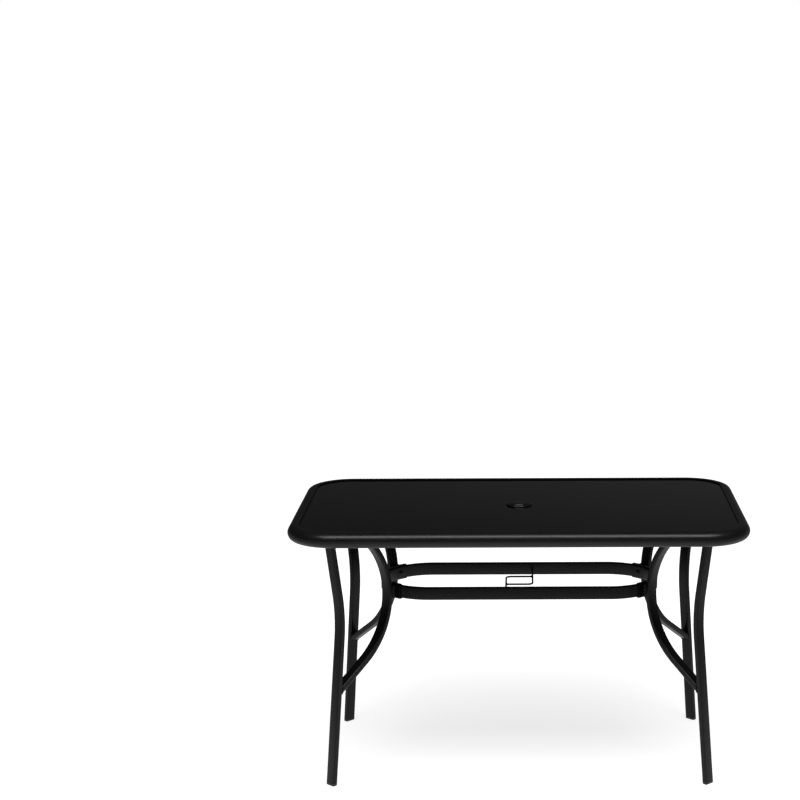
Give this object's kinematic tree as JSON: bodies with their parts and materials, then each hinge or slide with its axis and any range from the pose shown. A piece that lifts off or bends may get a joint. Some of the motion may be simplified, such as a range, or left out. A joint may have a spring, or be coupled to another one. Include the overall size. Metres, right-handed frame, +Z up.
{
  "type": "garden table with parasol hole",
  "caption": "Rectangular garden table with a black glass top in a rolled steel rim, a capped parasol hole, bent tube legs with C-shaped braces, a tie hoop and a wire pole guide.",
  "frame": {"origin": "on the ground under the middle of the table", "axes": "+X along the long side, +Y towards the back, +Z up"},
  "size_m": [1.2, 0.7, 0.7034],
  "materials": {
    "rim_powder_coat": "semi-gloss black powder coat on rolled steel",
    "frame_powder_coat": "satin black powder coat on steel tube",
    "black_glass": "polished tempered glass, opaque black",
    "black_plastic": "moulded black polypropylene",
    "black_rubber": "matt black rubber",
    "black_zinc": "black zinc plated steel"
  },
  "bodies": {
    "table": {"c_brace_back_left": "frame_powder_coat", "c_brace_back_right": "frame_powder_coat", "c_brace_front_left": "frame_powder_coat", "c_brace_front_right": "frame_powder_coat", "foot_cap_back_left": "black_plastic", "foot_cap_back_right": "black_plastic", "foot_cap_front_left": "black_plastic", "foot_cap_front_right": "black_plastic", "frame_bolt_back_left": "black_zinc", "frame_bolt_back_right": "black_zinc", "frame_bolt_front_left": "black_zinc", "frame_bolt_front_right": "black_zinc", "glass_pad_back_left": "black_rubber", "glass_pad_back_right": "black_rubber", "glass_pad_front_left": "black_rubber", "glass_pad_front_right": "black_rubber", "glass_seal": "black_rubber", "glass_top": "black_glass", "guide_wire_back": "frame_powder_coat", "guide_wire_front": "frame_powder_coat", "gusset_back_left": "frame_powder_coat", "gusset_back_right": "frame_powder_coat", "gusset_front_left": "frame_powder_coat", "gusset_front_right": "frame_powder_coat", "head_bar_back_left": "frame_powder_coat", "head_bar_back_right": "frame_powder_coat", "head_bar_front_left": "frame_powder_coat", "head_bar_front_right": "frame_powder_coat", "hole_ring": "black_plastic", "hoop": "frame_powder_coat", "hoop_bolt_back_left": "black_zinc", "hoop_bolt_back_right": "black_zinc", "hoop_bolt_front_left": "black_zinc", "hoop_bolt_front_right": "black_zinc", "hoop_nut_back_left": "black_zinc", "hoop_nut_back_right": "black_zinc", "hoop_nut_front_left": "black_zinc", "hoop_nut_front_right": "black_zinc", "hoop_saddle_back_left": "frame_powder_coat", "hoop_saddle_back_right": "frame_powder_coat", "hoop_saddle_front_left": "frame_powder_coat", "hoop_saddle_front_right": "frame_powder_coat", "leg_tube_back_left": "frame_powder_coat", "leg_tube_back_right": "frame_powder_coat", "leg_tube_front_left": "frame_powder_coat", "leg_tube_front_right": "frame_powder_coat", "rim_bolt_back_left_1": "black_zinc", "rim_bolt_back_left_2": "black_zinc", "rim_bolt_back_right_1": "black_zinc", "rim_bolt_back_right_2": "black_zinc", "rim_bolt_front_left_1": "black_zinc", "rim_bolt_front_left_2": "black_zinc", "rim_bolt_front_right_1": "black_zinc", "rim_bolt_front_right_2": "black_zinc", "top_rim": "rim_powder_coat"},
    "cap": {"hole_cap": "black_plastic"}
  },
  "joints": [
    {"name": "cap_lift", "type": "slide", "parent": "table", "child": "cap", "axis": [0, 0, 1], "range_m": [0, 0.06]}
  ]
}
